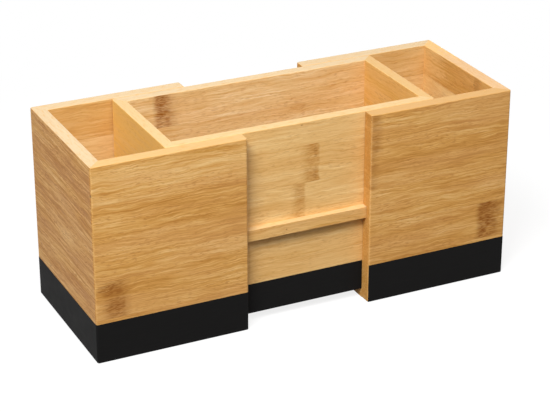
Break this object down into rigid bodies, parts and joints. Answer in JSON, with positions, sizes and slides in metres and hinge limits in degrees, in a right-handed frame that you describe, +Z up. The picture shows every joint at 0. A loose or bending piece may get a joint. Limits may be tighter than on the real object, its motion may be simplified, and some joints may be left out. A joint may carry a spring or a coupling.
{
  "type": "extending utensil caddy",
  "caption": "Long open-topped wooden utensil caddy that extends: end sleeves slide over a fixed centre box and open an extra compartment at either side.",
  "frame": {"origin": "middle of the footprint, on the table, with the sleeves drawn out as in the picture", "axes": "+X along the length to the right as seen from the front, +Y from the front to the back, +Z up; the object's front faces -Y"},
  "size_m": [0.331, 0.1216, 0.15],
  "materials": {
    "bamboo": "clear satin lacquer on edge-glued bamboo strips",
    "black_paint": "matte black paint in a band round the foot of the outer faces"
  },
  "bodies": {
    "centre_box": {"centre_front_panel": "bamboo", "centre_back_panel": "bamboo", "centre_left_wall": "bamboo", "centre_right_wall": "bamboo", "centre_floor": "bamboo", "front_guide_rail": "bamboo", "back_guide_rail": "bamboo"},
    "left_sleeve": {"left_front_panel": "bamboo", "left_back_panel": "bamboo", "left_end_panel": "bamboo", "left_floor": "bamboo"},
    "right_sleeve": {"right_front_panel": "bamboo", "right_back_panel": "bamboo", "right_end_panel": "bamboo", "right_floor": "bamboo"}
  },
  "joints": [
    {"name": "left_sleeve_slide", "type": "slide", "parent": "centre_box", "child": "left_sleeve", "axis": [-1, 0, 0], "range_m": [-0.0485, 0.027]},
    {"name": "right_sleeve_slide", "type": "slide", "parent": "centre_box", "child": "right_sleeve", "axis": [1, 0, 0], "range_m": [-0.0485, 0.027]}
  ]
}
